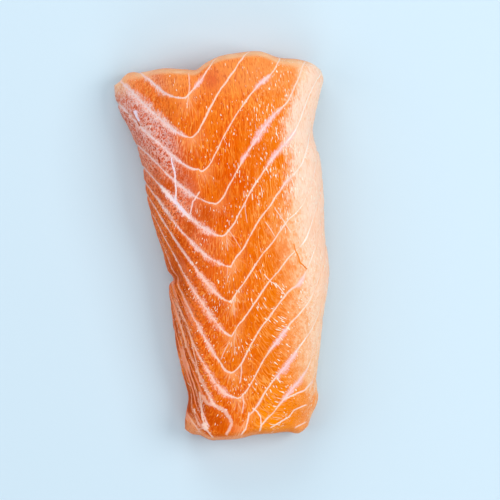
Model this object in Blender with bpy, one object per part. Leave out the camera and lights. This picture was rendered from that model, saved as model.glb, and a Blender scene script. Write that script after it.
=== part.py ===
"""A raw salmon loin: one boneless block of flesh, lying flat, whose muscle layers meet in chevrons.

Metres, +Z up. +Y runs along the fish towards the wide end, and +X towards the fatty flank.
The origin is the middle of the loin's footprint, on the surface that it lies on.
"""

import bmesh
import bpy
import numpy as np


def mm(*values):
    """Millimetres, or rows of them, as metres."""
    return np.array(values) * 0.001


# Driving dimensions
THICKNESS = 0.0265
FLAT_SHARE = 0.3  # the outline is widest at this share of the height
LEFT_SHOULDER, RIGHT_SHOULDER, END_SHOULDER = mm(8.5, 12.0, 3.2)
FOOT_ROUNDING = 0.0032
CORNER_ROUNDING = 0.03  # how far the plan's corners are drawn in, as a share of the half width and length

# The plan: (along, across) down each side, and (share of the half width, along) over each end
LEFT_EDGE = mm(
    (-72, -12.3), (-66, -13.2), (-61, -13.0), (-53, -11.6), (-44, -13.7), (-35, -15.6), (-23, -17.2),
    (-14.5, -18.3), (-4, -19.7), (5, -22.7), (17, -25.8), (30, -27.9), (36, -29.9), (41, -32.1),
    (46, -35.1), (53, -37.9), (57, -38.7), (62, -38.3),
)
RIGHT_EDGE = mm(
    (-72, 30.7), (-66, 31.0), (-61, 32.0), (-54, 34.5), (-47, 33.8), (-39, 34.6), (-23, 36.3), (-8, 38.2),
    (4, 36.7), (19, 36.2), (31, 34.9), (40, 32.5), (49, 34.2), (55, 35.8), (59, 37.0), (63, 36.1),
)
WIDE_END = [
    (-1.0, 0.0584), (-0.94, 0.0590), (-0.86, 0.0616), (-0.72, 0.0616), (-0.52, 0.0626), (-0.3, 0.0622),
    (-0.2, 0.0621), (-0.12, 0.0642), (0.0, 0.0665), (0.2, 0.0680), (0.4, 0.0685), (0.58, 0.0664),
    (0.8, 0.0661), (0.92, 0.0652), (1.0, 0.0631),
]
NARROW_END = [
    (-1.0, -0.0660), (-0.88, -0.0670), (-0.72, -0.0670), (-0.58, -0.0683), (-0.4, -0.0682), (-0.1, -0.0677),
    (0.12, -0.0665), (0.4, -0.0660), (0.68, -0.0657), (0.86, -0.0667), (1.0, -0.0649),
]
NOTCH_ALONG, NOTCH_DEPTH, NOTCH_WIDTH = mm(-11.2, 2.0, 1.8)

# The crown, as shares of the thickness: along the loin, then across it
CROWN_ALONG = [(-0.070, 0.74), (-0.045, 0.86), (0.0, 0.97), (0.035, 1.0), (0.070, 0.88)]
CROWN_ACROSS = [(-1.0, 0.80), (-0.4, 0.95), (0.15, 1.0), (0.6, 0.97), (1.0, 0.84)]
FLAP_THINNING = 0.34  # of the thickness, lost at the wide end's left corner

# Each septum, from the wide end: its apex (across, along), the rounding of its left arm, how steeply the
# left and the right arm rise, and how far the right arm sags beside the apex. The outermost ones
# lie off the loin.
SEPTA = [
    (-0.0220, 0.0900, 0.0100, 1.20, 0.90, 0.0000),
    (-0.0185, 0.0700, 0.0100, 1.20, 0.95, 0.0000),
    (-0.0122, 0.0511, 0.0121, 1.24, 1.02, -0.0002),
    (-0.0108, 0.0383, 0.0058, 1.02, 1.13, 0.0018),
    (-0.0074, 0.0266, 0.0073, 1.06, 1.11, 0.0031),
    (-0.0023, 0.0151, 0.0109, 1.16, 1.14, 0.0020),
    (0.0007, 0.0037, 0.0090, 1.19, 1.17, 0.0013),
    (0.0037, -0.0071, 0.0124, 1.41, 1.17, -0.0006),
    (0.0039, -0.0193, 0.0055, 1.42, 1.11, -0.0010),
    (0.0040, -0.0314, 0.0036, 1.57, 1.07, -0.0010),
    (0.0031, -0.0436, 0.0022, 1.77, 1.05, 0.0022),
    (0.0054, -0.0528, 0.0090, 2.16, 1.05, 0.0022),
    (0.0073, -0.0630, 0.0132, 2.53, 1.05, -0.0006),
    (0.0044, -0.0764, 0.0046, 2.55, 0.99, -0.0008),
    (0.0044, -0.0798, 0.0029, 1.83, 0.79, 0.0002),
    (0.0058, -0.0846, 0.0039, 1.12, 0.87, 0.0006),
    (0.0075, -0.0892, 0.0041, 0.60, 0.96, 0.0007),
    (0.0090, -0.0950, 0.0041, 0.60, 0.96, 0.0007),
    (0.0100, -0.1020, 0.0041, 0.60, 0.96, 0.0007),
]
# How far a right arm rises along the loin at each distance from its apex
ARM_RISE = mm(
    (0, 0), (2, 2.3), (4, 4.5), (6.5, 8.25), (10, 13.6), (15, 19.7), (20, 25.7), (26, 31.3), (33, 45.5),
    (42, 60.6),
)
SAG_REACH = 0.003  # the sag is deepest this far from the apex
# How far a septum runs towards the wide end for each metre of depth, and on the left side (along, how far)
LEAN = 0.61
LEFT_LEAN = [
    (-0.068, 0.0), (-0.045, 0.98), (-0.030, 1.32), (-0.015, 0.66), (0.0, 0.60), (0.025, 0.0), (0.065, 0.0),
]
LAYER_STEP = 0.1

SEAM_DEPTH, SEAM_WIDTH, LAYER_BULGE = mm(0.25, 0.90, 0.20)
SIDE_DEEPENING = 0.6  # seams on the sides are deeper by this share
CUT_END_RELIEF = 0.3  # the knife left this share of the relief on the two ends
SWELLS = [(0.00045, 0.031, 0.4), (0.00035, 0.019, 1.9), (0.00022, 0.011, 3.3)]  # height, length, turn

CELLS_ACROSS, CELLS_ALONG, CELLS_DEEP = 120, 230, 30
TRIANGLES = 10400
FLAT_WITHIN = 0.0002  # points this close to the underside are put on it
FLESH_COLOUR = (0.87, 0.20, 0.035, 1.0)
FLESH_ROUGHNESS = 0.32


def through(stations, at):
    """A smooth curve through (position, value) stations, read at an array of positions."""
    places, values = np.array(stations).T
    slopes = np.gradient(values, places)
    at = np.clip(at, places[0], places[-1])
    i = np.clip(np.searchsorted(places, at) - 1, 0, len(places) - 2)
    gap = places[i + 1] - places[i]
    t = (at - places[i]) / gap
    start = (1 + 2 * t) * (1 - t) ** 2 * values[i] + t * (1 - t) ** 2 * gap * slopes[i]
    end = t**2 * (3 - 2 * t) * values[i + 1] - t**2 * (1 - t) * gap * slopes[i + 1]
    return start + end


def ramp(low, high, at):
    """0 up to low, 1 from high on, and smooth between them."""
    t = np.clip((at - low) / (high - low), 0, 1)
    return t * t * (3 - 2 * t)


def plan(u, v):
    """Where a point of the unit square lies in the loin's plan."""
    start, end = through(NARROW_END, u), through(WIDE_END, u)
    along = start + (end - start) * (v + 1) / 2
    left, right = through(LEFT_EDGE, along), through(RIGHT_EDGE, along)
    notch = NOTCH_DEPTH * np.exp(-(((along - NOTCH_ALONG) / NOTCH_WIDTH) ** 2)) * ramp(-0.72, -1.0, u)
    return left + (right - left) * (u + 1) / 2 + notch, along


def crown(u, x, y):
    """The height of the loin's top, before its shoulders round it off."""
    flap = FLAP_THINNING * ramp(-0.25, -1.0, u) * ramp(0.028, 0.062, y)
    swell = sum(h * np.sin(x / size + 1.3 * y / size + turn) for h, size, turn in SWELLS)
    return THICKNESS * (through(CROWN_ALONG, y) * through(CROWN_ACROSS, u) - flap) + swell


def shaped(a, b, c):
    """The loin's surface for points of the unit box: x, y, z and the depth below the crown."""
    down = (1 - c) / 2
    turn = np.where(
        down < 1 - FLAT_SHARE,
        np.pi / 2 * (1 - down / (1 - FLAT_SHARE)),
        np.pi / 2 * (1 - FLAT_SHARE - down) / FLAT_SHARE,
    )
    side = LEFT_SHOULDER + (RIGHT_SHOULDER - LEFT_SHOULDER) * ramp(-0.6, 0.6, a)
    side_inset = np.where(turn > 0, side, FOOT_ROUNDING) * (1 - np.cos(turn))
    end_inset = np.where(turn > 0, END_SHOULDER, FOOT_ROUNDING) * (1 - np.cos(turn))
    x_mid, y_mid = plan(np.zeros_like(a), b)
    half_width = (through(RIGHT_EDGE, y_mid) - through(LEFT_EDGE, y_mid)) / 2
    u = a * (1 - side_inset / half_width) * (1 - CORNER_ROUNDING * b**6)
    v = b * (1 - end_inset / WIDE_END[8][1]) * (1 - CORNER_ROUNDING * a**6)
    x, y = plan(u, v)
    top = crown(u, x, y)
    widest = FLAT_SHARE * top
    z = np.where(turn > 0, widest + (top - widest) * np.sin(turn), widest * (1 + np.sin(turn)))
    return x, y, z, top - z


def lean(x, y, depth):
    """How far a septum runs towards the wide end for each metre of depth."""
    sideways = LEAN + (through(LEFT_LEAN, y) - LEAN) * ramp(0.0, -0.010, x)
    return sideways * (1 - ramp(0.050, 0.061, np.abs(y)) * ramp(0.016, 0.009, depth))


def layer_at(x, y, depth):
    """The layer that each point lies in, which is a whole number on each septum."""
    steps = np.arange(0, len(SEPTA) - 1 + LAYER_STEP / 2, LAYER_STEP)
    apex_x, apex_y, rounding, left_rise, right_rise, sag = (
        np.interp(steps, np.arange(len(SEPTA)), column)[:, None] for column in np.array(SEPTA).T
    )
    across = x[None, :] - apex_x
    left = left_rise * (np.hypot(across, rounding) - rounding)
    beside = np.maximum(across, 0) / SAG_REACH
    right = right_rise * through(ARM_RISE, across) - sag * beside * np.exp(1 - beside)
    heights = apex_y + np.where(across < 0, left, right)
    level = y - lean(x, y, depth) * depth
    above = np.clip((heights > level).sum(0), 1, len(steps) - 1)
    columns = np.arange(len(x))
    upper, lower = heights[above - 1, columns], heights[above, columns]
    return steps[above - 1] + LAYER_STEP * np.clip((upper - level) / (upper - lower), 0, 1)


def seam_distance(x, y, depth, normal):
    """How far each point of the surface is from its nearest septum."""
    layer = layer_at(x, y, depth)
    nudge = 0.0004
    slope = np.stack(
        [
            layer_at(x + nudge, y, depth) - layer,
            layer_at(x, y + nudge, depth) - layer,
            layer - layer_at(x, y, depth + nudge),
        ],
        axis=1,
    )
    slope = slope / nudge
    slope -= (slope * normal).sum(1)[:, None] * normal
    steepness = np.maximum(np.linalg.norm(slope, axis=1), 1 / 0.02)
    return np.abs(layer - np.round(layer)) / steepness


def unit_box(across, along, deep):
    """A box from -1 to 1 with that many cells along each axis."""
    box = bmesh.new()
    bmesh.ops.create_cube(box, size=2)
    for axis, cells in enumerate((across, along, deep)):
        runs = [e for e in box.edges if abs(e.verts[0].co[axis] - e.verts[1].co[axis]) > 1]
        bmesh.ops.subdivide_edges(box, edges=runs, cuts=cells - 1, use_grid_fill=True)
    return box


def loin_mesh():
    """The loin with a groove along every septum and a slight swelling between them."""
    loin = unit_box(CELLS_ACROSS, CELLS_ALONG, CELLS_DEEP)
    a, b, c = np.array([v.co for v in loin.verts]).T
    x, y, z, depth = shaped(a, b, c)
    for vert, place in zip(loin.verts, np.stack([x, y, z], axis=1)):
        vert.co = place
    loin.normal_update()
    normal = np.array([v.normal for v in loin.verts])
    distance = seam_distance(x, y, depth, normal)
    on_side = ramp(0.002, 0.008, depth)
    groove = (SEAM_DEPTH + LAYER_BULGE) * (1 + SIDE_DEEPENING * on_side)
    relief = LAYER_BULGE - groove * np.exp(-((distance / SEAM_WIDTH) ** 2))
    relief *= ramp(0.0, 0.005, z) * (1 - (1 - CUT_END_RELIEF) * ramp(0.93, 0.99, np.abs(b)))
    places = np.stack([x, y, z], axis=1) + relief[:, None] * normal
    places[:, 2] = np.where(c < -0.999, 0, np.maximum(places[:, 2], 0))
    middle = (places.min(0) + places.max(0)) / 2
    places[:, :2] -= middle[:2]
    for vert, place in zip(loin.verts, places):
        vert.co = place
    underside = [f for f in loin.faces if f.calc_center_median().z < 1e-6]
    bmesh.ops.dissolve_faces(loin, faces=underside, use_verts=True)
    bmesh.ops.triangulate(loin, faces=loin.faces)
    mesh = bpy.data.meshes.new("salmon_loin")
    loin.to_mesh(mesh)
    loin.free()
    return mesh


def thin_out(loin):
    """Fewer triangles, with the underside still flat and the origin still under the middle."""
    fewer = loin.modifiers.new("fewer_triangles", "DECIMATE")
    fewer.ratio = TRIANGLES / len(loin.data.polygons)
    thinned = bpy.data.meshes.new_from_object(loin.evaluated_get(bpy.context.evaluated_depsgraph_get()))
    loin.modifiers.clear()
    loin.data = thinned
    places = np.array([v.co for v in thinned.vertices])
    places[:, 2][places[:, 2] < FLAT_WITHIN] = 0
    places[:, :2] -= (places[:, :2].min(0) + places[:, :2].max(0)) / 2
    for vert, place in zip(thinned.vertices, places):
        vert.co = place


def flesh_material():
    material = bpy.data.materials.new("salmon_flesh")
    material.use_nodes = True
    shader = material.node_tree.nodes["Principled BSDF"]
    shader.inputs["Base Color"].default_value = FLESH_COLOUR
    shader.inputs["Roughness"].default_value = FLESH_ROUGHNESS
    return material


def main():
    for obj in list(bpy.data.objects):
        bpy.data.objects.remove(obj, do_unlink=True)
    collection = bpy.data.collections.new("salmon_loin")
    bpy.context.scene.collection.children.link(collection)
    loin = bpy.data.objects.new("salmon_loin", loin_mesh())
    collection.objects.link(loin)
    fine = loin.data
    thin_out(loin)
    bpy.data.meshes.remove(fine)
    loin.data.materials.append(flesh_material())
    loin.data.shade_smooth()


main()
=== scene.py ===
"""A raw salmon loin, lying flat and seen from straight above.

Metres, +Z up. +Y runs along the fish towards the wide end, and +X towards the fatty flank. The loin's form
comes from the same named sizes as its solid. Where each point of the surface lies in its layer of muscle is
worked out once and kept as attributes, which the flesh's material reads.
"""

import math

import bmesh
import bpy
import numpy as np
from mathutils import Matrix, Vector, noise


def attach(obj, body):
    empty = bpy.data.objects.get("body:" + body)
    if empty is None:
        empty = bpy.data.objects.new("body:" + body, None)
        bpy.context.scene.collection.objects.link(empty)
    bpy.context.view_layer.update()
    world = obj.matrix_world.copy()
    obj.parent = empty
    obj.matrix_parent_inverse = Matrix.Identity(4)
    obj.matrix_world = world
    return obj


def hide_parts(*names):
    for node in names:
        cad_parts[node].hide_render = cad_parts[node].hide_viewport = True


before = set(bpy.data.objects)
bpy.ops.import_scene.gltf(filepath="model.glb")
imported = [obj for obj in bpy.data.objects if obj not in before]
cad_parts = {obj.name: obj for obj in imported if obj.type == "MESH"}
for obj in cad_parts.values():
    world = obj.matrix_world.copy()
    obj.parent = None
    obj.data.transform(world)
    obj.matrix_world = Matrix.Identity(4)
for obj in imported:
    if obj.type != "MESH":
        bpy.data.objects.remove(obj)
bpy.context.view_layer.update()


def mm(*values):
    """Millimetres, or rows of them, as metres."""
    return np.array(values) * 0.001


def colour(code):
    """A colour written as in a paint program, as the linear values that Blender wants."""
    parts = [int(code[i : i + 2], 16) / 255 for i in (1, 3, 5)]
    linear = [p / 12.92 if p < 0.04045 else ((p + 0.055) / 1.055) ** 2.4 for p in parts]
    return (*linear, 1.0)


def spots(*rows):
    """Round spots (across, along, reach, how much), given in millimetres but for the last, as metres."""
    return [(*mm(*place), much) for *place, much in rows]


# The loin's form
THICKNESS = 0.0265
FLAT_SHARE = 0.3  # the outline is widest at this share of the height
LEFT_SHOULDER, RIGHT_SHOULDER, END_SHOULDER = mm(8.5, 12.0, 3.2)
FOOT_ROUNDING = 0.0032
CORNER_ROUNDING = 0.03
HALF_LENGTH = 0.0665  # from the middle of the loin to the middle of its wide end

# The plan: (along, across) down each side, and (share of the half width, along) over each end
LEFT_EDGE = mm(
    (-72, -12.3), (-66, -13.2), (-61, -13.0), (-53, -11.6), (-44, -13.7), (-35, -15.6), (-23, -17.2),
    (-14.5, -18.3), (-4, -19.7), (5, -22.7), (17, -25.8), (30, -27.9), (36, -29.9), (41, -32.1),
    (46, -35.1), (53, -37.9), (57, -38.7), (62, -38.3),
)
RIGHT_EDGE = mm(
    (-72, 30.7), (-66, 31.0), (-61, 32.0), (-54, 34.5), (-47, 33.8), (-39, 34.6), (-23, 36.3), (-8, 38.2),
    (4, 36.7), (19, 36.2), (31, 34.9), (40, 32.5), (49, 34.2), (55, 35.8), (59, 37.0), (63, 36.1),
)
WIDE_END = [
    (-1.0, 0.0584), (-0.94, 0.0590), (-0.86, 0.0616), (-0.72, 0.0616), (-0.52, 0.0626), (-0.3, 0.0622),
    (-0.2, 0.0621), (-0.12, 0.0642), (0.0, HALF_LENGTH), (0.2, 0.0680), (0.4, 0.0685), (0.58, 0.0664),
    (0.8, 0.0661), (0.92, 0.0652), (1.0, 0.0631),
]
NARROW_END = [
    (-1.0, -0.0660), (-0.88, -0.0670), (-0.72, -0.0670), (-0.58, -0.0683), (-0.4, -0.0682), (-0.1, -0.0677),
    (0.12, -0.0665), (0.4, -0.0660), (0.68, -0.0657), (0.86, -0.0667), (1.0, -0.0649),
]
NOTCH_ALONG, NOTCH_DEPTH, NOTCH_WIDTH = mm(-11.2, 2.0, 1.8)

# The crown: its height as a share of the thickness, along the loin and across it
CROWN_ALONG = [(-0.070, 0.74), (-0.045, 0.86), (0.0, 0.97), (0.035, 1.0), (0.070, 0.88)]
CROWN_ACROSS = [(-1.0, 0.80), (-0.4, 0.95), (0.15, 1.0), (0.6, 0.97), (1.0, 0.84)]
FLAP_THINNING = 0.34  # the share of the thickness that is lost at the wide end's left corner
SWELLS = [(0.00045, 0.031, 0.4), (0.00035, 0.019, 1.9), (0.00022, 0.011, 3.3)]  # height, size and phase
SWELL_SLANT = 1.3

# Each septum, from the wide end on: its apex (across, along), its left arm's rounding, how steeply the left
# and the right arm rise, and how far the right one sags by the apex. The outermost apexes lie off the loin.
SEPTA = [
    (-0.0220, 0.0900, 0.0100, 1.20, 0.90, 0.0000),
    (-0.0185, 0.0700, 0.0100, 1.20, 0.95, 0.0000),
    (-0.0122, 0.0511, 0.0121, 1.24, 1.02, -0.0002),
    (-0.0108, 0.0383, 0.0058, 1.02, 1.13, 0.0018),
    (-0.0074, 0.0266, 0.0073, 1.06, 1.11, 0.0031),
    (-0.0023, 0.0151, 0.0109, 1.16, 1.14, 0.0020),
    (0.0007, 0.0037, 0.0090, 1.19, 1.17, 0.0013),
    (0.0037, -0.0071, 0.0124, 1.41, 1.17, -0.0006),
    (0.0039, -0.0193, 0.0055, 1.42, 1.11, -0.0010),
    (0.0040, -0.0314, 0.0036, 1.57, 1.07, -0.0010),
    (0.0031, -0.0436, 0.0022, 1.77, 1.05, 0.0022),
    (0.0054, -0.0528, 0.0090, 2.16, 1.05, 0.0022),
    (0.0073, -0.0630, 0.0132, 2.53, 1.05, -0.0006),
    (0.0044, -0.0764, 0.0046, 2.55, 0.99, -0.0008),
    (0.0044, -0.0798, 0.0029, 1.83, 0.79, 0.0002),
    (0.0058, -0.0846, 0.0039, 1.12, 0.87, 0.0006),
    (0.0075, -0.0892, 0.0041, 0.60, 0.96, 0.0007),
    (0.0090, -0.0950, 0.0041, 0.60, 0.96, 0.0007),
    (0.0100, -0.1020, 0.0041, 0.60, 0.96, 0.0007),
]
ARM_RISE = mm(  # how far a right arm of steepness 1 has risen, by the distance from its apex
    (0, 0), (2, 2.3), (4, 4.5), (6.5, 8.25), (10, 13.6), (15, 19.7), (20, 25.7), (26, 31.3), (33, 45.5),
    (42, 60.6),
)
SAG_REACH = 0.003
LEAN = 0.61  # how far a septum runs towards the wide end for each metre of depth
LEFT_LEAN = [  # the same on the left, by the place along the loin
    (-0.068, 0.0), (-0.045, 0.98), (-0.030, 1.32), (-0.015, 0.66), (0.0, 0.60), (0.025, 0.0), (0.065, 0.0),
]
LAYER_STEP = 0.1  # septa are worked out at every tenth of a layer
LAYER_LENGTH = 0.0116
WIDEST_SPREAD = 0.02  # a layer never takes up more of the surface than this
LAYER_WAVES = [(0.045, 0.010, 5), (0.030, 0.0038, 6)]  # share of a layer, size and seed

# The relief
SEAM_DEPTH, SEAM_WIDTH, LAYER_BULGE = mm(0.10, 0.80, 0.10)
SIDE_DEEPENING = 1.2  # seams are deeper down the sides by this share
CUT_END_RELIEF = 0.3  # the share of the relief that the two cut ends have
LUMPS = [(0.00016, 0.0045, 1), (0.00007, 0.0017, 2)]  # height, size and seed
LEFT_LUMPS = (0.00010, 0.0012, 3)
FOLD_DEPTH, FOLDS_IN_LAYER, FOLD_PHASE = 0.00030, 2, 0.3
CELLS_ACROSS, CELLS_ALONG, CELLS_DEEP = 180, 330, 30
UNDERSIDE_CELLS = 5  # how many of these cells make up one of the underside's
UNDERSIDE = -0.999  # the unit box's points below this height are its underside

# How wide the fatty flank is along the loin
FLANK_WIDTH = mm(
    (-66, -1.5), (-55, 0.5), (-48, 4), (-40, 7), (-25, 9), (-10, 12.3), (5, 13.5), (14, 12), (20, 12),
    (35, 10.4), (50, 9.5), (60, 8.5), (66, 5),
)

# How pink the left side of each layer is
PINK_LAYERS = np.array([
    (1.8, 0.4), (2.3, 0.0), (2.8, 0.1), (3.2, 1.0), (4.3, 0.9), (5.0, 0.7), (6.2, 0.45), (7.2, 0.1),
    (12.0, 0.0),
])

# The fat lines' half width: as a rule, what is added on a left arm, how much it varies, over what length, and
# what it loses at a gap. Then how far their edges are frayed, and what is added to that on a left arm.
LINE_HALF_WIDTH, LEFT_ADDED, LINE_VARIES, VARIES_OVER, GAP_LOSS = 0.00023, 0.00008, 0.00012, 0.0050, 0.002
LINE_FRAY, LEFT_FRAY_ADDED = 0.00011, 0.00019
RAY_CENTRE = 0.0008  # the rays fan out from this far to the right of a septum's apex

# Where a fat line is broader than usual: (across, along, reach, added half width), in millimetres
BLOOMS = mm(
    (14.9, 41.2, 4.5, 0.80), (12.4, 36.7, 2.0, 0.60), (8.2, 31.8, 3.5, 0.55), (21.5, 34.2, 4.5, 0.70),
    (25.5, 39.0, 2.5, 0.40), (22.8, 22.0, 3.5, 0.35), (14.2, 56.3, 4.0, 0.50), (17.0, 58.0, 2.0, 0.40),
    (-7.5, 56.6, 4.0, 0.50), (-23.3, 55.6, 5.0, 0.25), (-30.3, 52.0, 6.0, 0.90), (-25.0, 48.2, 6.0, 0.95),
    (-19.8, 44.0, 5.0, 0.70), (-14.5, 40.5, 4.0, 0.50), (-14.5, 15.0, 6.0, 0.80), (-18.7, 18.8, 5.0, 0.35),
    (-5.8, 6.9, 5.0, 0.70), (-9.3, -0.8, 4.0, 0.40), (-2.3, -4.3, 4.0, 0.60), (-5.8, -11.3, 5.0, 0.50),
    (-3.3, -14.0, 4.0, 0.60), (-6.5, -19.7, 4.0, 0.60), (-3.0, -25.5, 5.0, 0.80), (-4.0, -35.0, 5.0, 0.40),
    (-5.8, -42.8, 4.0, 0.50), (-2.3, -47.3, 4.0, 0.70), (1.6, -50.5, 4.0, 0.50), (-3.0, -55.4, 5.0, 0.35),
    (22.2, -44.2, 3.5, 0.65), (25.7, -39.0, 4.0, 0.45), (12.8, -54.7, 3.0, 0.30), (19.8, -34.7, 5.0, 0.35),
    (21.9, -30.5, 3.5, 0.45), (17.0, -24.2, 4.0, 0.15), (27.5, -47.0, 5.0, 0.55), (22.9, -52.2, 4.0, 0.45),
    (28.5, -12.5, 4.0, 0.45), (18.5, 46.6, 3.5, 0.45), (17.5, 29.5, 3.0, 0.45), (-28.5, 41.6, 4.0, 0.40),
    (-23.3, 36.3, 4.0, 0.40), (-18.0, 31.0, 4.0, 0.40), (-13.0, 27.5, 4.0, 0.30),
)

# Where the flesh is deeper in colour: (across, along, reach, how much), in millimetres but for the last
DEEP = spots(
    (-2.0, -61.0, 6.0, 0.9), (-3.3, 58.0, 4.0, 1.0), (3.7, 23.0, 7.0, 0.7), (-18.2, 19.8, 3.2, 1.2),
    (-11.0, -7.0, 6.0, 0.5), (22.0, -3.5, 5.0, 0.4), (1.2, 10.5, 4.0, 0.6), (-7.0, -17.0, 3.0, 0.5),
    (-1.0, -22.0, 4.0, 0.5), (13.5, 33.0, 4.0, 0.5), (-6.0, -58.0, 3.0, 0.6), (24.0, -57.0, 6.0, 0.3),
    (-10.6, 7.4, 3.0, 1.1), (-4.5, 11.5, 4.0, 0.8), (-11.5, 29.5, 3.5, 0.6), (-17.0, 2.0, 3.0, 0.5),
    (-13.0, 2.0, 3.0, 0.8), (-13.2, -3.6, 2.5, 0.6), (-14.0, 23.5, 2.5, 0.6), (-22.0, 24.5, 2.5, 0.5),
    (-15.5, -6.0, 3.5, 0.6), (-12.5, -21.0, 3.0, 0.5),
)

# Where a fat line is missing: (across, along, reach, how much), in millimetres but for the last
GAPS = spots(
    (0.5, -60.5, 2.2, 1.0), (3.2, -62.5, 2.2, 1.0), (6.2, -63.3, 2.4, 1.0), (8.6, -62.6, 2.0, 1.0),
    (-1.6, -58.6, 1.6, 1.0), (30.5, -56.0, 3.5, 1.0), (25.5, -63.5, 4.5, 1.0), (30.0, -61.0, 4.0, 1.0),
)

# Small veins: how strongly each shows (less than 0 is a dark crack), its half width in millimetres, and the
# points (across, along) that it runs through, in millimetres
VEINS = (
    (1.0, 0.30, (-16.8, 30.3), (-16.5, 27.9), (-15.8, 25.8), (-15.6, 23.0), (-15.4, 19.5), (-15.5, 16.0)),
    (0.9, 0.55, (-20.3, 20.6), (-18.0, 17.8), (-15.6, 15.3), (-13.1, 12.5), (-11.0, 10.1)),
    (0.9, 0.55, (-29.8, 46.9), (-29.3, 44.9), (-28.7, 43.9)),
    (-1.0, 0.26, (-30.4, 46.8), (-29.6, 44.7), (-28.5, 42.5)),
    (-0.7, 0.26, (-36.2, 49.6), (-34.4, 47.2), (-32.5, 46.2)),
    (0.5, 0.22, (-11.0, 62.0), (-10.7, 55.0), (-11.5, 48.5)),
    (0.9, 0.16, (15.6, -10.2), (17.3, -12.2), (20.1, -13.9), (22.2, -16.5)),
    (-1.0, 0.24, (25.7, 0.3), (26.1, -1.5), (27.1, -3.6), (27.8, -5.7), (29.9, -7.8)),
    (0.5, 0.16, (8.6, 13.6), (8.9, 11.1), (9.3, 8.7)),
    (0.7, 0.15, (19.4, 12.5), (22.1, 8.7), (24.3, 5.2)),
    (0.7, 0.24, (-7.5, 18.5), (-9.6, 15.3), (-10.3, 12.2), (-10.7, 10.4)),
    (0.5, 0.15, (3.2, 5.2), (5.4, 2.2), (6.8, -0.3)),
    (0.6, 0.15, (15.9, 8.1), (17.4, 6.0), (18.7, 3.8)),
    (0.6, 0.24, (7.2, -41.5), (7.4, -44.2), (7.0, -47.0)),
    (0.6, 0.24, (7.7, -52.0), (8.2, -54.8), (7.7, -57.8)),
    (0.5, 0.20, (2.6, -34.2), (1.3, -36.9), (0.4, -39.0)),
    (0.8, 0.26, (10.0, -58.5), (9.6, -61.0), (8.8, -63.8), (7.2, -66.0)),
    (0.8, 0.26, (11.7, -56.8), (13.1, -57.9), (14.0, -59.6), (14.2, -62.4), (13.8, -64.6)),
    (0.8, 0.28, (22.6, -53.3), (27.1, -51.2), (29.6, -50.2), (32.0, -47.7), (33.8, -46.6)),
    (0.55, 0.70, (-6.2, -52.5), (-4.7, -54.7), (-2.6, -55.4), (-0.5, -56.3), (1.6, -57.5), (3.0, -59.6)),
    (0.55, 0.50, (3.0, -59.6), (3.9, -61.7), (3.3, -63.8), (2.3, -65.5)),
    (
        0.75, 0.30, (-7.3, -51.5), (-6.9, -55.0), (-6.7, -58.5), (-5.8, -61.7), (-5.1, -63.8), (-3.7, -65.5),
        (-2.6, -67.0),
    ),
    (1.0, 0.95, (-5.7, -62.3), (-5.0, -63.7)),
    (0.7, 0.28, (-11.4, -59.2), (-10.3, -61.0), (-8.6, -63.1), (-7.9, -64.1), (-6.5, -65.9), (-5.4, -67.0)),
    (0.5, 0.20, (-5.4, -62.4), (-7.5, -64.5), (-8.9, -65.7)),
    (0.9, 0.50, (-9.4, -57.5), (-9.2, -58.1)),
    (0.9, 0.45, (1.7, -57.0), (2.1, -57.3)),
    (0.7, 0.24, (26.6, -63.3), (29.6, -62.0), (31.2, -61.0)),
    (0.8, 0.22, (18.0, -63.1), (21.5, -61.0), (24.0, -59.6), (25.7, -57.4), (29.5, -55.7)),
    (0.6, 0.20, (-20.9, -1.0), (-19.4, -2.4), (-18.0, -4.6), (-17.4, -7.6)),
    (0.45, 0.15, (2.4, 4.8), (2.3, 1.5), (2.6, -1.0)),
    (0.45, 0.15, (2.6, -7.0), (2.4, -10.0), (2.6, -12.0)),
    (0.50, 0.17, (5.2, -17.0), (4.7, -20.5), (4.8, -23.5)),
    (0.45, 0.16, (5.4, -29.0), (4.8, -33.5), (5.2, -37.0)),
    (0.7, 0.22, (-18.6, -15.0), (-16.9, -19.0), (-15.0, -24.0), (-13.8, -29.0), (-12.2, -35.0)),
    (0.7, 0.22, (-17.0, -17.5), (-14.2, -22.8), (-11.4, -28.2), (-9.8, -34.6), (-8.4, -41.0), (-7.3, -47.0)),
)
VEIN_REACH, FAR_ASIDE = 12.0, 8.0  # in half widths: how far a vein is looked for, and the most that is kept

# The flesh's patterns
LAYER_SEED = 3.7  # each layer's noise is this far from the next one's
RAYS, RAY_WAVER = 6.0, 1.3  # how close the rays are, and how much they waver along a layer
RAY_START = 0.0014  # the rays meet this far before a septum's apex
FOLD_NOISE = (3.6, 60.0)  # how many lumps there are in a layer, and in a metre along the loin
BUMP_HEIGHT = 0.0003

# The stage
FLOOR_REACH = 1.5
SKY_STRENGTH = 0.44
LAMPS = [  # name, place, size and power
    ("key", (0.56, 0.05, 0.60), 0.45, 3.50),
    ("fill", (-0.60, 0.02, 0.52), 0.60, 1.75),
    ("front", (0.10, -0.62, 0.38), 0.50, 1.15),
    ("back", (-0.15, 0.62, 0.38), 0.50, 1.85),
]
LENS, SENSOR = 300.0, 36.0
FRAME_MIDDLE = (0.00998, -0.00149)
FRAME_WIDTH, FRAME_LEVEL = 0.175, 0.016  # how wide the picture is, and the height at which it is that wide


def through(stations, at):
    """A smooth curve through (position, value) stations, read at an array of positions."""
    places, values = np.array(stations).T
    slopes = np.gradient(values, places)
    at = np.clip(at, places[0], places[-1])
    i = np.clip(np.searchsorted(places, at) - 1, 0, len(places) - 2)
    gap = places[i + 1] - places[i]
    t = (at - places[i]) / gap
    start = (1 + 2 * t) * (1 - t) ** 2 * values[i] + t * (1 - t) ** 2 * gap * slopes[i]
    end = t**2 * (3 - 2 * t) * values[i + 1] - t**2 * (1 - t) * gap * slopes[i + 1]
    return start + end


def ramp(low, high, at):
    """0 up to low, 1 from high on, and smooth between them."""
    t = np.clip((at - low) / (high - low), 0, 1)
    return t * t * (3 - 2 * t)


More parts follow.
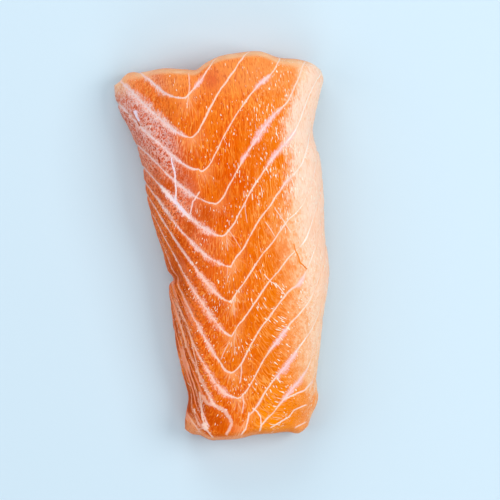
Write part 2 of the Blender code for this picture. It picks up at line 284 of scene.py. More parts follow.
def plan(u, v):
    """Where a point of the unit square lies in the loin's plan."""
    start, end = through(NARROW_END, u), through(WIDE_END, u)
    along = start + (end - start) * (v + 1) / 2
    left, right = through(LEFT_EDGE, along), through(RIGHT_EDGE, along)
    notch = NOTCH_DEPTH * np.exp(-(((along - NOTCH_ALONG) / NOTCH_WIDTH) ** 2)) * ramp(-0.72, -1.0, u)
    return left + (right - left) * (u + 1) / 2 + notch, along


def crown(u, x, y):
    """The height of the loin's top, before its shoulders round it off."""
    flap = FLAP_THINNING * ramp(-0.25, -1.0, u) * ramp(0.028, 0.062, y)
    swell = sum(h * np.sin(x / size + SWELL_SLANT * y / size + turn) for h, size, turn in SWELLS)
    return THICKNESS * (through(CROWN_ALONG, y) * through(CROWN_ACROSS, u) - flap) + swell


def shaped(a, b, c):
    """The loin's surface for points of the unit box: x, y, z and the depth below the crown."""
    down = (1 - c) / 2
    turn = np.where(
        down < 1 - FLAT_SHARE,
        np.pi / 2 * (1 - down / (1 - FLAT_SHARE)),
        np.pi / 2 * (1 - FLAT_SHARE - down) / FLAT_SHARE,
    )
    side = LEFT_SHOULDER + (RIGHT_SHOULDER - LEFT_SHOULDER) * ramp(-0.6, 0.6, a)
    side_inset = np.where(turn > 0, side, FOOT_ROUNDING) * (1 - np.cos(turn))
    end_inset = np.where(turn > 0, END_SHOULDER, FOOT_ROUNDING) * (1 - np.cos(turn))
    _, y_mid = plan(np.zeros_like(a), b)
    half_width = (through(RIGHT_EDGE, y_mid) - through(LEFT_EDGE, y_mid)) / 2
    u = a * (1 - side_inset / half_width) * (1 - CORNER_ROUNDING * b**6)
    v = b * (1 - end_inset / HALF_LENGTH) * (1 - CORNER_ROUNDING * a**6)
    x, y = plan(u, v)
    top = crown(u, x, y)
    widest = FLAT_SHARE * top
    z = np.where(turn > 0, widest + (top - widest) * np.sin(turn), widest * (1 + np.sin(turn)))
    return x, y, z, top - z


def lean(x, y, depth):
    """How far a septum runs towards the wide end for each metre of depth."""
    sideways = LEAN + (through(LEFT_LEAN, y) - LEAN) * ramp(0.0, -0.010, x)
    return sideways * (1 - ramp(0.050, 0.061, np.abs(y)) * ramp(0.016, 0.009, depth))


def layer_at(x, y, depth):
    """The layer that each point lies in, which is a whole number on each septum."""
    steps = np.arange(0, len(SEPTA) - 1 + LAYER_STEP / 2, LAYER_STEP)
    apex_x, apex_y, rounding, left_rise, right_rise, sag = (
        np.interp(steps, np.arange(len(SEPTA)), column) for column in np.array(SEPTA).T
    )
    level = y - lean(x, y, depth) * depth
    above = np.zeros(len(x), int)
    heights = np.empty((len(steps), len(x)), np.float32)
    for i in range(len(steps)):
        across = x - apex_x[i]
        left = left_rise[i] * (np.hypot(across, rounding[i]) - rounding[i])
        beside = np.maximum(across, 0) / SAG_REACH
        right = right_rise[i] * through(ARM_RISE, across) - sag[i] * beside * np.exp(1 - beside)
        heights[i] = apex_y[i] + np.where(across < 0, left, right)
        above += heights[i] > level
    above = np.clip(above, 1, len(steps) - 1)
    columns = np.arange(len(x))
    upper, lower = heights[above - 1, columns], heights[above, columns]
    return steps[above - 1] + LAYER_STEP * np.clip((upper - level) / (upper - lower), 0, 1)


def layer_spread(layer, x, y, depth, normal):
    """How many metres of the surface one layer takes up at each point."""
    nudge = 0.0004
    slope = np.stack(
        [
            layer_at(x + nudge, y, depth) - layer,
            layer_at(x, y + nudge, depth) - layer,
            layer - layer_at(x, y, depth + nudge),
        ],
        axis=1,
    )
    slope = slope / nudge
    slope -= (slope * normal).sum(1)[:, None] * normal
    return 1 / np.maximum(np.linalg.norm(slope, axis=1), 1 / WIDEST_SPREAD)


def lumps(places, size, seed):
    """Smooth noise from -1 to 1, with lumps of that size."""
    shift = Vector((seed * 3.7, seed * 5.3, seed * 7.1))
    return np.array([noise.noise(Vector(p) / size + shift) for p in places])


def spotted(x, y, rows):
    """How much each point has of the round spots (across, along, reach, how much)."""
    return sum(
        much * np.exp(-((x - spot_x) ** 2 + (y - spot_y) ** 2) / reach**2)
        for spot_x, spot_y, reach, much in rows
    )


def vein_marks(x, y):
    """The signed distance to the nearest vein, in half widths of it, and how strongly it shows there."""
    nearest = np.full(len(x), VEIN_REACH)
    aside, shows = np.full(len(x), FAR_ASIDE), np.zeros(len(x))
    for strength, half_width, *points in VEINS:
        points = mm(*points)
        half_width = half_width * 0.001
        for (x0, y0), (x1, y1) in zip(points, points[1:]):
            length = math.hypot(x1 - x0, y1 - y0)
            run = ((x - x0) * (x1 - x0) + (y - y0) * (y1 - y0)) / length
            off = ((x - x0) * (y1 - y0) - (y - y0) * (x1 - x0)) / length
            beyond = np.maximum(np.abs(run - length / 2) - length / 2, 0)
            far = np.hypot(off, 2 * beyond)
            closer = far / half_width < nearest
            nearest = np.where(closer, far / half_width, nearest)
            aside = np.where(closer, np.clip(off / half_width, -FAR_ASIDE, FAR_ASIDE), aside)
            shows = np.where(closer, strength * ramp(0.0016, 0.0008, far), shows)
    return aside, shows


def unit_box(across, along, deep):
    """A box from -1 to 1 with that many cells along each axis."""
    box = bmesh.new()
    bmesh.ops.create_cube(box, size=2)
    for axis, cells in enumerate((across, along, deep)):
        runs = [e for e in box.edges if abs(e.verts[0].co[axis] - e.verts[1].co[axis]) > 1]
        bmesh.ops.subdivide_edges(box, edges=runs, cuts=cells - 1, use_grid_fill=True)
    return box


def lay_out(box):
    """A map for the baked picture: each side of the box has a place of its own on it."""
    layer = box.loops.layers.uv.new("OFBake")
    places = {  # axis, side: the corner on the map, and the size there, in hundredths
        (2, 1): (1, 1, 36, 65), (2, -1): (39, 1, 36, 65), (0, -1): (77, 1, 10, 65), (0, 1): (89, 1, 10, 65),
        (1, -1): (1, 69, 36, 14), (1, 1): (39, 69, 36, 14),
    }
    for face in box.faces:
        normal = face.normal
        axis = max(range(3), key=lambda i: abs(normal[i]))
        left, low, wide, high = places[axis, 1 if normal[axis] > 0 else -1]
        first, second = ((2, 1), (0, 2), (0, 1))[axis]
        for loop in face.loops:
            place = loop.vert.co
            loop[layer].uv = (
                (left + wide * (place[first] + 1) / 2) / 100,
                (low + high * (place[second] + 1) / 2) / 100,
            )


def thin_underside(loin, a, b, c):
    """Make the flat underside's cells larger, and tell which of the points are kept."""
    column = np.rint((a + 1) / 2 * CELLS_ACROSS).astype(int)
    row = np.rint((b + 1) / 2 * CELLS_ALONG).astype(int)
    before = loin.verts.layers.int.new("before")
    for vert in loin.verts:
        vert[before] = vert.index
    needless = []
    for edge in loin.edges:
        first, second = (vert.index for vert in edge.verts)
        if max(c[first], c[second]) > UNDERSIDE:
            continue
        across = row[first] == row[second]
        line, last = (row[first], CELLS_ALONG) if across else (column[first], CELLS_ACROSS)
        if line % UNDERSIDE_CELLS and 0 < line < last:
            needless.append(edge)
    bmesh.ops.dissolve_edges(loin, edges=needless, use_verts=True)
    bmesh.ops.triangulate(loin, faces=[f for f in loin.faces if len(f.verts) > 4])
    kept = np.array([vert[before] for vert in loin.verts])
    loin.verts.layers.int.remove(before)
    return kept


def move_to(loin, places):
    for vert, place in zip(loin.verts, places):
        vert.co = place


def near_apex(layer, x):
    """How far each point is to the right of its layer's apex."""
    return x - np.interp(layer, np.arange(len(SEPTA)), [row[0] for row in SEPTA])


def on_left_arm(across):
    """1 on the left of an apex, 0 on its right, and smooth between them."""
    return ramp(0.002, -0.006, across)


def left_shoulder(x, y, depth):
    """How much each point is on the folded shoulder along the left edge."""
    folded = ramp(0.010, 0.003, x - through(LEFT_EDGE, y)) * ramp(0.004, -0.020, y) * ramp(-0.066, -0.060, y)
    return folded * (0.15 + 0.85 * ramp(0.015, 0.007, depth))


def relief(smooth, depth, layer, spread, shoulder, cut_end):
    """How far each point stands out: layers that bulge between their seams, lumps, and folds."""
    x, _, z = smooth.T
    distance = np.abs(layer - np.round(layer)) * spread
    groove = (SEAM_DEPTH + LAYER_BULGE) * (1 + SIDE_DEEPENING * ramp(0.002, 0.008, depth))
    out = LAYER_BULGE - groove * np.exp(-((distance / SEAM_WIDTH) ** 2))
    out += sum(height * lumps(smooth, size, seed) for height, size, seed in LUMPS)
    height, size, seed = LEFT_LUMPS
    out += height * on_left_arm(near_apex(layer, x)) * lumps(smooth, size, seed)
    folds = np.sin(2 * np.pi * (FOLDS_IN_LAYER * layer + FOLD_PHASE))
    out -= FOLD_DEPTH * shoulder * (0.5 + 0.5 * folds)
    out *= ramp(0.0, 0.005, z) * (1 - (1 - CUT_END_RELIEF) * cut_end)
    return out


def flesh_marks(smooth, depth, normal, layer, spread, shoulder):
    """What the material needs to know at each point, by the name of its attribute."""
    x, y, _ = smooth.T
    across = near_apex(layer, x)
    on_left = on_left_arm(across)
    near_top = ramp(0.016, 0.008, depth)
    on_top = ramp(0.011, 0.005, depth)
    deep = np.minimum(spotted(x, y, DEEP), 1)
    narrow_edge = ramp(-0.0625, -0.0650, y) * ramp(0.018, 0.012, x) * on_top
    missing = narrow_edge + spotted(x, y, GAPS)
    varying = LINE_VARIES * lumps(smooth, VARIES_OVER, 4)
    left_from = np.interp(layer, (4.5, 6.0), (-0.002, -0.006))
    left_side = ramp(left_from, left_from - 0.010, across)
    pink_side = ramp(0.0, -0.010, across) * np.interp(layer, *PINK_LAYERS.T)
    flank_edge = through(RIGHT_EDGE, y) - np.interp(y, *FLANK_WIDTH.T)
    vein, vein_shows = vein_marks(x, y)
    return {
        "layer": layer,
        "spread": spread,
        "tilt": np.clip(across / 0.016, -0.8, 1) * (0.16 + 0.40 * ramp(0.010, -0.035, y)),
        "line_width": LINE_HALF_WIDTH + LEFT_ADDED * on_left + varying - GAP_LOSS * missing,
        "line_fray": LINE_FRAY + LEFT_FRAY_ADDED * on_left,
        "bloom": spotted(x, y, BLOOMS),
        "flank": x - flank_edge,
        "right_side": ramp(0.004, 0.022, x),
        "deep": deep,
        "left_side": left_side * (1 - 0.75 * deep) * (0.4 + 0.6 * near_top),
        "pinkness": pink_side * (1 - 0.6 * deep) * (0.45 + 0.55 * near_top),
        "shoulder": shoulder,
        "across": across - RAY_CENTRE,
        "wide_end": ramp(0.034, 0.064, y) * (0.3 + 0.7 * on_top),
        "narrow_end": ramp(-0.040, -0.058, y) * ramp(0.006, 0.018, x) * ramp(0.005, 0.001, depth),
        # painted light on the rims of the two cut ends, where they turn away from the lamps
        "wide_rim_painted_light": ramp(-0.0004, 0.0014, depth) * ramp(0.050, 0.058, y) * ramp(0.018, 0.002, depth),
        "narrow_rim_painted_light": ramp(0.0008, 0.0030, depth) * ramp(-0.058, -0.063, y) * ramp(0.014, 0.002, depth),
        "vein": vein,
        "vein_shows": vein_shows * ramp(0.2, 0.5, normal[:, 2]),
    }


def loin_mesh():
    """The loin with its relief, and with its marks as attributes."""
    loin = unit_box(CELLS_ACROSS, CELLS_ALONG, CELLS_DEEP)
    loin.normal_update()
    lay_out(loin)
    a, b, c = np.array([v.co for v in loin.verts]).T
    x, y, z, depth = shaped(a, b, c)
    smooth = np.stack([x, y, z], axis=1)
    move_to(loin, smooth)
    loin.normal_update()
    normal = np.array([v.normal for v in loin.verts])

    layer = layer_at(x, y, depth)
    spread = layer_spread(layer, x, y, depth, normal)
    layer += sum(share * lumps(smooth, size, seed) for share, size, seed in LAYER_WAVES)
    shoulder = left_shoulder(x, y, depth)
    cut_end = ramp(0.93, 0.99, np.abs(b))
    places = smooth + relief(smooth, depth, layer, spread, shoulder, cut_end)[:, None] * normal
    places[:, 2] = np.where(c < UNDERSIDE, 0, np.maximum(places[:, 2], 0))
    places[:, :2] -= (places[:, :2].min(0) + places[:, :2].max(0)) / 2
    move_to(loin, places)

    marks = flesh_marks(smooth, depth, normal, layer, spread, shoulder)
    kept = thin_underside(loin, a, b, c)
    mesh = bpy.data.meshes.new("salmon_flesh")
    loin.to_mesh(mesh)
    loin.free()
    for name, values in marks.items():
        attribute = mesh.attributes.new(name, "FLOAT", "POINT")
        attribute.data.foreach_set("value", values[kept].astype(np.float32))
    mesh.shade_smooth()
    return mesh


class Shader:
    """A material's node tree, written as sums: each method places a node and hands on its output."""

    def __init__(self, tree):
        self.tree = tree

    def node(self, kind, inputs=(), **settings):
        made = self.tree.nodes.new(kind)
        for name, value in settings.items():
            setattr(made, name, value)
        for socket, value in dict(inputs).items():
            target = made.inputs[socket]
            if isinstance(value, bpy.types.NodeSocket):
                self.tree.links.new(value, target)
            else:
                target.default_value = value
        return made

    def mark(self, name):
        return self.node("ShaderNodeAttribute", attribute_name=name).outputs["Fac"]

    def math(self, operation, first, second=0.0, third=0.0):
        inputs = {0: first, 1: second, 2: third}
        return self.node("ShaderNodeMath", inputs, operation=operation).outputs[0]

    def times(self, first, *factors):
        for factor in factors:
            first = self.math("MULTIPLY", first, factor)
        return first

    def shifted(self, noise, far, start):
        """The start value, moved by up to half of far either way, as the noise says."""
        return self.math("MULTIPLY_ADD", self.math("SUBTRACT", noise, 0.5), far, start)

    def fade(self, value, low, high, to_low=0.0, to_high=1.0):
        """A smooth step in value, from to_low at low to to_high at high."""
        inputs = {"Value": value, "From Min": low, "From Max": high, "To Min": to_low, "To Max": to_high}
        return self.node("ShaderNodeMapRange", inputs, interpolation_type="SMOOTHSTEP").outputs["Result"]

    def hairs(self, noise, thin, wide):
        """Thin lines, where smooth noise passes its middle value."""
        return self.fade(self.math("ABSOLUTE", self.math("SUBTRACT", noise, 0.5)), wide, thin)

    def blend(self, share, under, over):
        """A mix of two colours, which are sockets or written as in a paint program."""
        under, over = (colour(c) if isinstance(c, str) else c for c in (under, over))
        return self.node("ShaderNodeMix", {0: share, 6: under, 7: over}, data_type="RGBA").outputs[2]

    def mix(self, share, first, second):
        """A mix of two numbers."""
        return self.node("ShaderNodeMix", {0: share, 2: first, 3: second}).outputs[0]

    def vector(self, operation, first, second):
        return self.node("ShaderNodeVectorMath", {0: first, 1: second}, operation=operation).outputs[0]

    def joined(self, x, y, z):
        return self.node("ShaderNodeCombineXYZ", {"X": x, "Y": y, "Z": z}).outputs[0]

    def noise(self, place, detail=1.0, roughness=0.5):
        inputs = {"Vector": place, "Scale": 1.0, "Detail": detail, "Roughness": roughness}
        return self.node("ShaderNodeTexNoise", inputs).outputs["Fac"]


class Flesh(Shader):
    """The marks and the noise that the flesh's colours share."""

    def __init__(self, tree):
        super().__init__(tree)
        self.place = self.node("ShaderNodeTexCoord").outputs["Object"]
        split = self.node("ShaderNodeSeparateXYZ", {"Vector": self.place})
        self.x, self.y = split.outputs["X"], split.outputs["Y"]
        self.layer = self.mark("layer")
        self.across = self.mark("across")
        self.left = self.mark("left_side")
        self.right = self.mark("right_side")
        self.flank_at = self.mark("flank")
        self.wide_end = self.mark("wide_end")
        self.shoulder = self.mark("shoulder")
        self.pinkness = self.mark("pinkness")
        self.deep = self.mark("deep")
        self.bloom = self.mark("bloom")
        self.left_of_apex = self.fade(self.across, 0.001, -0.006)
        self.calm = self.math("MULTIPLY_ADD", self.deep, -0.7, 1.0)  # deeper flesh has less of a pattern

        # Fibres run along the fish and lean away from the middle, and each layer has its own
        self.in_layer = self.math("FRACT", self.layer)
        up_layer = self.times(self.math("SUBTRACT", 0.5, self.in_layer), LAYER_LENGTH)
        leaned = self.math("MULTIPLY_ADD", self.mark("tilt"), up_layer, self.x)
        self.along_fibres = self.joined(leaned, self.y, split.outputs["Z"])
        self.own = self.times(self.math("FLOOR", self.layer), LAYER_SEED)
        self.own_place = self.joined(self.own, self.own, self.own)
        self.streak = self.fibres(0.00038, 0.0034)
        self.thread = self.fibres(0.00026, 0.0019)
        self.hair = self.fibres(0.00075, 0.0070)
        self.worm = self.fibres(0.00100, 0.0028)
        # noise for the painted glints
        self.glint_noise = self.fibres(0.00029, 0.0017, 0.0)

        self.cloud = self.lumpy(120, 75, 2.0)
        self.cluster = self.lumpy(170, 130)
        self.patch = self.lumpy(380, 260, 3.0, 0.6)
        self.cells = self.lumpy(850, 650)
        self.fine = self.lumpy(1400, 1050)
        self.grain = self.lumpy(1500, 1300, 2.0, 0.6)
        self.fleck = self.lumpy(2200, 1800)
        self.curl = self.hairs(self.cells, 0.015, 0.085)

    def fibres(self, thick, long, detail=1.0):
        """Noise that is drawn out along the fibres."""
        drawn_out = self.vector("MULTIPLY", self.along_fibres, (1 / thick, 1 / long, 1 / thick))
        return self.noise(self.vector("ADD", drawn_out, self.own_place), detail)

    def lumpy(self, across, along, detail=1.0, roughness=0.5):
        """Noise with that many lumps to a metre, across the fish and along it."""
        return self.noise(self.vector("MULTIPLY", self.place, (across, along, across)), detail, roughness)


def bare_flesh(s):
    """Deep orange, yellower at the ends and pinker on the left, with streaks and hairs along the fibres."""
    flesh = s.blend(s.fade(s.cloud, 0.35, 0.65), "#E65C00", "#EA6C04")
    flesh = s.blend(s.times(s.right, 0.85), flesh, "#EE7A0A")
    flesh = s.blend(s.times(s.wide_end, 0.75), flesh, "#F68C3C")
    flesh = s.blend(s.times(s.mark("narrow_end"), 0.85), flesh, "#FF9204")
    # lighter on the left: partly the flesh's own tone there, partly painted light making up for the shade on
    # the left slope
    flesh = s.blend(s.times(s.left, 0.85), flesh, "#F2640A")
    flesh = s.blend(s.times(s.pinkness, 0.80), flesh, "#CE705C")
    flesh = s.blend(s.times(s.deep, 0.9), flesh, s.blend(s.left_of_apex, "#DC4C00", "#C44600"))

    dark = s.blend(s.left, s.blend(s.right, "#D04A00", "#E46800"), "#CC4E04")
    flesh = s.blend(s.fade(s.streak, 0.49, 0.36, 0.0, 0.75), flesh, dark)
    pale_threads = s.times(s.fade(s.thread, 0.56, 0.70), s.fade(s.right, 0.0, 1.0, 0.48, 0.36))
    pale = s.blend(s.pinkness, s.blend(s.right, "#FF861C", "#FF8E30"), "#FFC4B0")
    flesh = s.blend(pale_threads, flesh, pale)
    hair = s.times(s.hairs(s.hair, 0.010, 0.045), s.calm, s.fade(s.cloud, 0.40, 0.60, 0.75, 0.35))
    pale = s.blend(s.pinkness, s.blend(s.right, "#FFA040", "#FFAC60"), "#FFC8B8")
    flesh = s.blend(hair, flesh, pale)
    worms = s.times(s.hairs(s.worm, 0.015, 0.060), s.times(s.right, s.fade(s.patch, 0.45, 0.60, 0.0, 0.40)))
    return s.blend(worms, flesh, "#FFB478")


def with_rays(s, flesh):
    """Paler rays that fan out below each apex."""
    reach = s.math("MULTIPLY_ADD", s.in_layer, LAYER_LENGTH, RAY_START)
    angle = s.math("DIVIDE", s.across, reach)
    rays = s.noise(s.joined(s.times(angle, RAYS), s.times(s.in_layer, RAY_WAVER), s.own))
    fan = s.times(s.fade(s.math("ABSOLUTE", angle), 0.9, 0.1), s.fade(s.in_layer, 0.80, 0.05, 0.05, 1.0))
    fan = s.times(fan, s.calm, s.fade(s.layer, 5.0, 8.5, 0.50, 0.95))
    flesh = s.blend(s.times(fan, s.fade(rays, 0.40, 0.62, 0.0, 0.60)), flesh, "#FF9C44")
    flesh = s.blend(s.times(fan, s.hairs(rays, 0.015, 0.050)), flesh, "#FFC090")
    glow = s.fade(s.math("ABSOLUTE", s.across), 0.0060, 0.0)
    glow = s.times(glow, s.fade(s.in_layer, 0.50, 0.0, 0.0, 0.48), s.calm)
    return s.blend(glow, flesh, "#FFA870")


def with_speckles(s, flesh):
    """Darker blotches, pits and grains on the left, and pale curls between them."""
    speckled = s.times(s.left, s.fade(s.wide_end, 0.1, 0.8, 1.0, 0.2))
    blotches = s.times(speckled, s.fade(s.patch, 0.49, 0.39, 0.0, 0.65))
    flesh = s.blend(blotches, flesh, s.blend(s.pinkness, "#C43C00", "#CC4C20"))
    pits = s.times(speckled, s.fade(s.fine, 0.48, 0.38, 0.0, 0.82), s.fade(s.shoulder, 0.0, 1.0, 1.0, 0.4))
    flesh = s.blend(pits, flesh, s.blend(s.pinkness, "#A03000", "#A43C18"))
    grains = s.times(speckled, s.fade(s.grain, 0.50, 0.36, 0.0, 0.55))
    flesh = s.blend(grains, flesh, s.blend(s.pinkness, "#C04200", "#D25C38"))
    curls = s.times(s.left, s.curl, s.fade(s.pinkness, 0.0, 1.0, 0.34, 0.80), s.calm)
    return s.blend(curls, flesh, s.blend(s.pinkness, "#FC9850", "#E6BCB6"))


def with_shaded_folds(s, flesh):
    """Folds along the left shoulder, which follow the layers: painted shade in their creases, pale stripes
    between.
    """
    fold = s.noise(s.joined(s.times(s.layer, FOLD_NOISE[0]), s.times(s.y, FOLD_NOISE[1]), 0.0))
    # painted shade in the creases of the folds
    flesh = s.blend(s.times(s.shoulder, s.fade(fold, 0.50, 0.42, 0.0, 0.85)), flesh, "#AC3A00")
    return s.blend(s.times(s.shoulder, s.fade(fold, 0.54, 0.60, 0.0, 0.75)), flesh, "#FC9C7A")


def with_painted_rims(s, flesh):
    """Painted light: the rims of the two cut ends, which turn away from the lamps, are painted paler."""
    rim = s.times(s.mark("wide_rim_painted_light"), s.fade(s.cloud, 0.40, 0.60, 0.50, 0.75))
    flesh = s.blend(rim, flesh, "#FFCC9C")
    rim = s.times(s.mark("narrow_rim_painted_light"), s.fade(s.streak, 0.30, 0.60, 0.25, 0.85))
    rim = s.times(rim, s.fade(s.x, 0.004, 0.016, 1.0, 0.6))
    return s.blend(rim, flesh, s.blend(s.fade(s.x, 0.004, 0.016), "#FFA870", "#FF8C20"))


def with_flank(s, flesh):
    """The pale fatty flank, with a ragged and mottled border."""
    border = s.shifted(s.thread, 0.008, s.flank_at)
    border = s.shifted(s.patch, s.fade(s.y, 0.010, 0.028, 0.014, 0.007), border)
    border = s.shifted(s.grain, 0.003, border)
    before = s.times(s.fade(border, -0.0090, 0.0, 0.0, 0.50), s.fade(s.y, 0.022, 0.010))
    flesh = s.blend(before, flesh, "#FCAC70")

    fatty = s.blend(s.fade(s.patch, 0.35, 0.65), "#FABC8C", "#FFD2B0")
    fatty = s.blend(s.fade(s.y, -0.050, 0.040, 0.0, 0.7), fatty, "#FFDCC6")
    fatty = s.blend(s.times(s.fade(s.thread, 0.54, 0.70), 0.5), fatty, "#FFE6D4")
    fatty = s.blend(s.fade(s.flank_at, 0.005, 0.014, 0.0, 0.45), fatty, "#FFC8AE")
    fatty = s.blend(s.fade(s.streak, 0.46, 0.32, 0.0, 0.50), fatty, "#F2A66C")
    inner = s.times(s.fade(s.flank_at, 0.0055, 0.0, 0.0, 0.65), s.fade(s.y, 0.020, 0.008))
    fatty = s.blend(inner, fatty, "#FAB074")
    mottled = s.times(s.fade(s.y, -0.050, -0.030), s.fade(s.y, 0.018, 0.008))
    mottle = s.times(s.fade(s.flank_at, 0.0075, 0.0015), s.fade(s.cells, 0.48, 0.38, 0.0, 0.60))
    fatty = s.blend(s.times(mottle, mottled), fatty, "#F49046")
    return s.blend(s.fade(border, -0.0030, 0.0030), flesh, fatty)


def on_line(s, away, half_width, fray, softness):
    """How much of a fat line shows, if its edges are frayed along the fibres."""
    frayed = s.shifted(s.thread, s.times(fray, 4.0), away)
    frayed = s.shifted(s.patch, s.times(fray, 4.5), frayed)
    soft = s.math("MULTIPLY_ADD", fray, softness, 0.00010)
    low, high = s.math("SUBTRACT", half_width, soft), s.math("ADD", half_width, soft)
    return s.math("SUBTRACT", 1.0, s.fade(frayed, low, high))


def with_fat_lines(s, flesh):
    """Fat lines on the septa, and the broad bands beside some of them."""
    away = s.times(s.math("PINGPONG", s.layer, 0.5), s.mark("spread"))
    left_halo = s.fade(s.pinkness, 0.0, 0.5, 0.20, 0.30)
    halo = s.times(s.fade(away, 0.0016, 0.0), s.fade(s.left, 0.0, 1.0, 0.14, left_halo))
    flesh = s.blend(halo, flesh, s.blend(s.pinkness, "#FF9C50", "#F8B09C"))

    half_width = s.mark("line_width")
    band_fray = s.math("MULTIPLY_ADD", s.bloom, 0.9, 0.00010)
    band = on_line(s, away, s.math("ADD", half_width, s.bloom), band_fray, 0.8)
    band = s.times(band, s.fade(s.bloom, 0.0001, 0.0005))
    granular = s.fade(s.math("MULTIPLY_ADD", s.curl, 0.3, s.fleck), 0.40, 0.66, 0.25, 0.88)
    granular = s.math("ADD", granular, s.fade(s.y, 0.020, 0.040, 0.0, 0.10))
    opaque = s.mix(s.left_of_apex, s.fade(s.fleck, 0.35, 0.60, 0.65, 0.92), granular)
    left_band = s.blend(s.fade(s.y, -0.020, 0.020), "#FFBCA4", "#F4C8BE")
    left_band = s.blend(s.shoulder, left_band, "#FFA684")
    flesh = s.blend(s.times(band, opaque), flesh, s.blend(s.left_of_apex, "#F8C8C8", left_band))
    white = s.times(s.fade(s.grain, 0.52, 0.62, 0.0, 0.60), s.fade(s.shoulder, 0.0, 1.0, 1.0, 0.2))
    white = s.times(band, white, s.times(s.left, s.fade(s.layer, 4.5, 6.0)))
    flesh = s.blend(white, flesh, "#FFE8E0")

    fat = s.blend(s.fade(s.bloom, 0.0001, 0.0007), "#FCDAC8", "#FACCCC")
    # up the loin the fat on the left turns lavender: partly its own colour, partly a painted reflection of
    # cool light on the wet fat
    left_fat_and_sheen = s.blend(s.fade(s.y, -0.020, 0.020), "#FFD8CC", "#EED2D0")
    left_fat_and_sheen = s.blend(s.shoulder, left_fat_and_sheen, "#FFB49A")
    fat = s.blend(s.left_of_apex, fat, left_fat_and_sheen)
    fat = s.blend(s.fade(s.flank_at, -0.001, 0.002), fat, "#FFF4EA")
    core = on_line(s, away, half_width, s.mark("line_fray"), 0.6)
    core = s.times(core, s.fade(s.flank_at, 0.0125, 0.0070, 0.10, 1.0))
    in_flank = s.times(s.fade(s.flank_at, -0.002, 0.002), s.fade(s.y, 0.040, 0.020))
    core = s.times(core, s.mix(in_flank, 1.0, s.fade(s.cloud, 0.44, 0.58, 0.25, 1.0)))
    faintest = s.fade(s.left, 0.0, 1.0, 0.80, 0.45)
    core = s.times(core, s.fade(s.patch, 0.38, 0.52, faintest, 1.0))
    merged = s.times(s.bloom, s.left_of_apex, s.fade(s.y, 0.030, 0.010))
    core = s.times(core, s.fade(merged, 0.0001, 0.0006, 1.0, 0.70))
    return s.blend(s.times(core, s.fade(s.left, 0.0, 1.0, 0.92, 0.85)), flesh, fat)


def with_veins(s, flesh):
    """The small veins, and the cracks."""
    wavy = s.shifted(s.patch, 2.2, s.mark("vein"))
    beside = s.shifted(s.thread, 1.5, s.math("ABSOLUTE", wavy))
    on_vein = s.math("SUBTRACT", 1.0, s.fade(beside, 0.5, 1.4))
    shows = s.mark("vein_shows")
    # up the loin the veins on the left turn lavender-white: partly their own colour, partly a painted
    # reflection of cool light
    left_vein_and_sheen = s.blend(s.fade(s.y, -0.020, 0.005), "#FFBA98", "#EEDAE6")
    vein = s.blend(s.left, "#FCD8C8", left_vein_and_sheen)
    flesh = s.blend(s.times(on_vein, s.fade(shows, 0.0, 1.0)), flesh, vein)
    crack = s.blend(s.left, "#EE8420", "#C05A2C")
    return s.blend(s.times(on_vein, s.fade(shows, 0.0, -1.0)), flesh, crack)


def glints(s):
    """Small painted glints, drawn out along the fibres and in clusters, most of them beside the flank."""
    clustered = s.fade(s.cluster, 0.40, 0.60, -0.10, 0.04)
    often = s.math("MULTIPLY_ADD", s.fade(s.flank_at, -0.032, -0.004), 0.06, clustered)
    often = s.math("ADD", often, s.fade(s.flank_at, -0.048, -0.030, -0.035, 0.0))
    often = s.math("ADD", often, s.fade(s.y, 0.028, 0.042, 0.0, -0.030))
    beside_flank = s.fade(s.flank_at, -0.020, -0.010, 0.0, 0.025)
    often = s.math("MULTIPLY_ADD", s.fade(s.y, 0.000, 0.012), beside_flank, often)
    return s.fade(s.math("ADD", s.glint_noise, often), 0.76, 0.81)


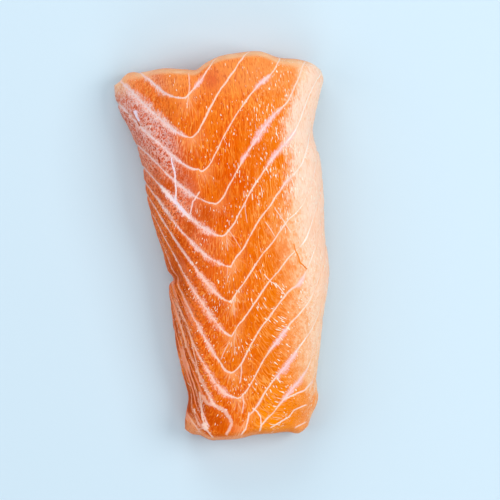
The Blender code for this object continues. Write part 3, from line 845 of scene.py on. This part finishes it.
def flesh_material():
    """Raw salmon: orange flesh in fibres, fat lines between its layers, and a pale fatty flank."""
    material = bpy.data.materials.new("salmon_flesh")
    material.use_nodes = True
    s = Flesh(material.node_tree)
    flesh = bare_flesh(s)
    for lay_over in (with_rays, with_speckles, with_shaded_folds, with_painted_rims, with_flank, with_fat_lines, with_veins):
        flesh = lay_over(s, flesh)
    painted_glints = glints(s)
    # the glints are painted highlights: pale flecks in the base colour where the wet flesh would catch the
    # lamps
    flesh = s.blend(s.times(painted_glints, 0.85), flesh, "#FFF0DC")

    height = s.math("ADD", s.times(s.streak, 0.5), s.times(s.thread, 0.5))
    grainy = s.math("ADD", s.grain, s.curl)
    height = s.math("MULTIPLY_ADD", grainy, s.fade(s.left, 0.0, 0.7, 0.05, 0.18), height)
    height = s.math("MULTIPLY_ADD", painted_glints, 0.5, height)
    bump = s.node("ShaderNodeBump", {"Height": height, "Strength": 0.6, "Distance": BUMP_HEIGHT})

    surface = material.node_tree.nodes["Principled BSDF"]
    s.tree.links.new(flesh, surface.inputs["Base Color"])
    s.tree.links.new(s.math("MULTIPLY_ADD", s.grain, 0.25, 0.24), surface.inputs["Roughness"])
    s.tree.links.new(bump.outputs["Normal"], surface.inputs["Normal"])
    finish = {
        "Subsurface Weight": 0.08,
        "Subsurface Radius": (1.0, 0.35, 0.15),
        "Subsurface Scale": 0.0015,
        "Coat Weight": 0.005,
        "Coat Roughness": 0.12,
        "IOR": 1.38,
        "Specular IOR Level": 0.03,
    }
    for name, value in finish.items():
        surface.inputs[name].default_value = value
    return material


def make_loin():
    loin = bpy.data.objects.new("salmon_flesh", loin_mesh())
    bpy.context.scene.collection.objects.link(loin)
    loin.data.materials.append(flesh_material())
    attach(loin, "root")
    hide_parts("salmon_loin")


def floor_paint():
    paint = bpy.data.materials.new("floor_paint")
    paint.use_nodes = True
    surface = paint.node_tree.nodes["Principled BSDF"]
    surface.inputs["Base Color"].default_value = colour("#CCDFEA")
    surface.inputs["Roughness"].default_value = 0.9
    return paint


def make_floor():
    """A plain pale floor."""
    ground = bmesh.new()
    bmesh.ops.create_grid(ground, x_segments=1, y_segments=1, size=FLOOR_REACH)
    mesh = bpy.data.meshes.new("floor")
    ground.to_mesh(mesh)
    ground.free()
    floor = bpy.data.objects.new("floor", mesh)
    bpy.context.scene.collection.objects.link(floor)
    mesh.materials.append(floor_paint())


def make_light():
    """A pale sky and soft lamps, the strongest of them on the right."""
    scene = bpy.context.scene
    scene.view_settings.view_transform = "Standard"
    world = bpy.data.worlds.new("studio")
    world.use_nodes = True
    sky = world.node_tree.nodes["Background"]
    sky.inputs["Color"].default_value = colour("#E6F4FF")
    sky.inputs["Strength"].default_value = SKY_STRENGTH
    scene.world = world

    for name, place, size, power in LAMPS:
        lamp = bpy.data.lights.new(name, "AREA")
        lamp.shape = "SQUARE"
        lamp.size = size
        lamp.energy = power
        lamp_object = bpy.data.objects.new(name, lamp)
        lamp_object.location = place
        lamp_object.rotation_euler = Vector(place).to_track_quat("Z", "Y").to_euler()
        scene.collection.objects.link(lamp_object)


def make_camera():
    """The camera, which looks straight down."""
    camera = bpy.data.cameras.new("camera")
    camera.lens = LENS
    camera.sensor_width = SENSOR
    camera_object = bpy.data.objects.new("camera", camera)
    camera_object.location = (*FRAME_MIDDLE, FRAME_LEVEL + FRAME_WIDTH * LENS / SENSOR)
    bpy.context.scene.collection.objects.link(camera_object)
    bpy.context.scene.camera = camera_object


make_loin()
make_floor()
make_light()
make_camera()
